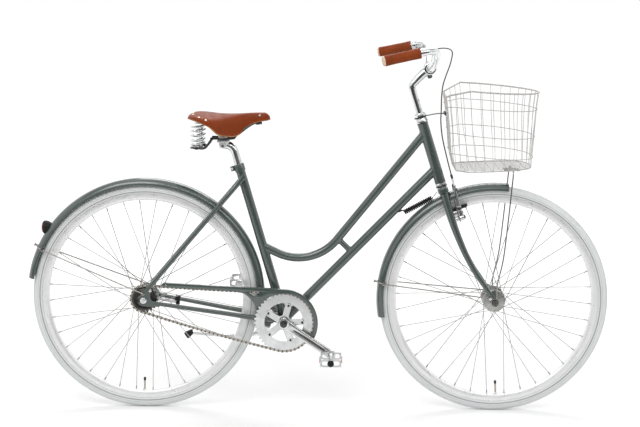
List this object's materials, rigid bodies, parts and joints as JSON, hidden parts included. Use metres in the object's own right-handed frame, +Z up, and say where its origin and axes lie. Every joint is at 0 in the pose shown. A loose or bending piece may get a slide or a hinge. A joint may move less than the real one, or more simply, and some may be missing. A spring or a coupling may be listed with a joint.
{
  "type": "step-through bicycle",
  "caption": "Step-through city bicycle with a curved top tube, full fenders, coaster brake, front rim brake, sprung leather saddle, wire basket and folded kickstand.",
  "frame": {"origin": "bottom centre of the bounding box, on the ground under the middle of the bicycle's length", "axes": "+X forwards along the wheels' plane, +Y to the rider's left, +Z up"},
  "size_m": [1.7638, 0.5646, 1.121],
  "materials": {
    "frame_paint": "gloss",
    "chrome": "polished",
    "alloy": "satin",
    "black_steel": "satin",
    "chain_steel": "satin",
    "spring_steel": "polished",
    "pale_tyre": "matt",
    "black_rubber": "matt",
    "cognac_leather": "satin",
    "red_lens": "gloss"
  },
  "bodies": {
    "frame": {"head_tube": "frame_paint", "top_tube": "frame_paint", "down_tube": "frame_paint", "cross_brace": "frame_paint", "seat_tube": "frame_paint", "bottom_bracket_shell": "frame_paint", "chainstay_left": "frame_paint", "chainstay_right": "frame_paint", "seatstay_left": "frame_paint", "seatstay_right": "frame_paint", "rear_fender": "frame_paint", "rear_fender_stay": "chrome", "chain_guard": "frame_paint", "taillight_housing": "black_steel", "taillight_lens": "red_lens", "coaster_brake_arm": "alloy", "rear_axle": "chrome", "kickstand_bracket": "black_steel", "steering_spring": "black_steel", "chain": "chain_steel"},
    "steering": {"fork_crown": "frame_paint", "fork_blade_left": "frame_paint", "fork_blade_right": "frame_paint", "front_axle": "chrome", "headset_locknut": "chrome", "stem": "chrome", "handlebar": "chrome", "grip_left": "cognac_leather", "grip_right": "cognac_leather", "brake_lever_bracket": "alloy", "front_brake_cable": "black_rubber", "front_fender": "frame_paint", "front_fender_stay": "chrome", "basket": "chrome", "basket_bracket": "chrome", "basket_stay": "chrome"},
    "front_wheel": {"front_tyre": "pale_tyre", "front_inner_tube": "black_rubber", "front_rim": "chrome", "front_hub_spokes": "alloy"},
    "rear_wheel": {"rear_tyre": "pale_tyre", "rear_inner_tube": "black_rubber", "rear_rim": "chrome", "rear_hub_spokes": "alloy"},
    "rear_sprocket": {"rear_sprocket": "black_steel"},
    "crankset": {"crank_right": "alloy", "crank_left": "alloy", "chainring": "alloy", "crank_spindle": "black_steel"},
    "pedal_right": {"pedal_right": "alloy"},
    "pedal_left": {"pedal_left": "alloy"},
    "brake_lever": {"brake_lever": "alloy"},
    "brake_arm_right": {"brake_arm_right": "alloy"},
    "brake_arm_left": {"brake_arm_left": "alloy"},
    "kickstand": {"kickstand": "alloy"},
    "seatpost": {"seatpost": "chrome", "saddle_rails": "black_steel", "saddle_spring_left": "spring_steel", "saddle_spring_right": "spring_steel"},
    "saddle": {"saddle_top": "cognac_leather"}
  },
  "joints": [
    {"name": "steering", "type": "hinge", "parent": "frame", "child": "steering", "pos_m": [0.36731, 0, 0.71244], "axis": [-0.2974, 0, 0.9548], "range_deg": [-60, 60], "stiffness_Nm_per_rad": 1, "deforming": ["steering_spring"]},
    {"name": "front_wheel_spin", "type": "hinge", "parent": "steering", "child": "front_wheel", "pos_m": [0.53591, 0, 0.346], "axis": [0, 1, 0], "continuous": true},
    {"name": "rear_wheel_spin", "type": "hinge", "parent": "frame", "child": "rear_wheel", "pos_m": [-0.52239, 0, 0.346], "axis": [0, 1, 0], "continuous": true},
    {"name": "crank_spin", "type": "hinge", "parent": "frame", "child": "crankset", "pos_m": [-0.09918, 0, 0.277], "axis": [0, 1, 0], "continuous": true, "deforming": ["chain"]},
    {"name": "sprocket_spin", "type": "hinge", "parent": "frame", "child": "rear_sprocket", "pos_m": [-0.52239, 0, 0.346], "axis": [0, 1, 0], "continuous": true},
    {"name": "pedal_right_spin", "type": "hinge", "parent": "crankset", "child": "pedal_right", "pos_m": [0.04404, -0.1225, 0.18541], "axis": [0, 1, 0], "continuous": true},
    {"name": "pedal_left_spin", "type": "hinge", "parent": "crankset", "child": "pedal_left", "pos_m": [-0.2424, 0.1225, 0.36859], "axis": [0, 1, 0], "continuous": true},
    {"name": "brake_lever_pull", "type": "hinge", "parent": "steering", "child": "brake_lever", "pos_m": [0.3127, 0.2425, 1.08332], "axis": [0, 1, 0], "range_deg": [0, 11], "stiffness_Nm_per_rad": 1.5},
    {"name": "brake_arm_right_swing", "type": "hinge", "parent": "steering", "child": "brake_arm_right", "pos_m": [0.4046, -0.04, 0.59272], "axis": [-0.9548, 0, -0.2974], "range_deg": [0, 3.2], "stiffness_Nm_per_rad": 1, "deforming": ["front_brake_cable"]},
    {"name": "brake_arm_left_swing", "type": "hinge", "parent": "steering", "child": "brake_arm_left", "pos_m": [0.4046, 0.04, 0.59272], "axis": [0.9548, 0, 0.2974], "range_deg": [0, 3.2], "stiffness_Nm_per_rad": 1},
    {"name": "kickstand_fold", "type": "hinge", "parent": "frame", "child": "kickstand", "pos_m": [-0.15718, 0.037, 0.24], "axis": [-0.0452, -0.9232, -0.3817], "range_deg": [0, 85]},
    {"name": "seatpost_height", "type": "slide", "parent": "frame", "child": "seatpost", "axis": [-0.2823, 0, 0.9593], "range_m": [-0.025, 0.06]},
    {"name": "saddle_tilt", "type": "hinge", "parent": "seatpost", "child": "saddle", "pos_m": [-0.17718, 0, 0.8812], "axis": [0, -1, 0], "range_deg": [0, 5], "stiffness_Nm_per_rad": 900, "deforming": ["saddle_spring_left", "saddle_spring_right"]}
  ],
  "couplings": [
    {"joint": "sprocket_spin", "follows": "crank_spin", "ratio": 2.2},
    {"joint": "brake_arm_right_swing", "follows": "brake_lever_pull", "ratio": 0.2909},
    {"joint": "brake_arm_left_swing", "follows": "brake_lever_pull", "ratio": 0.2909}
  ]
}
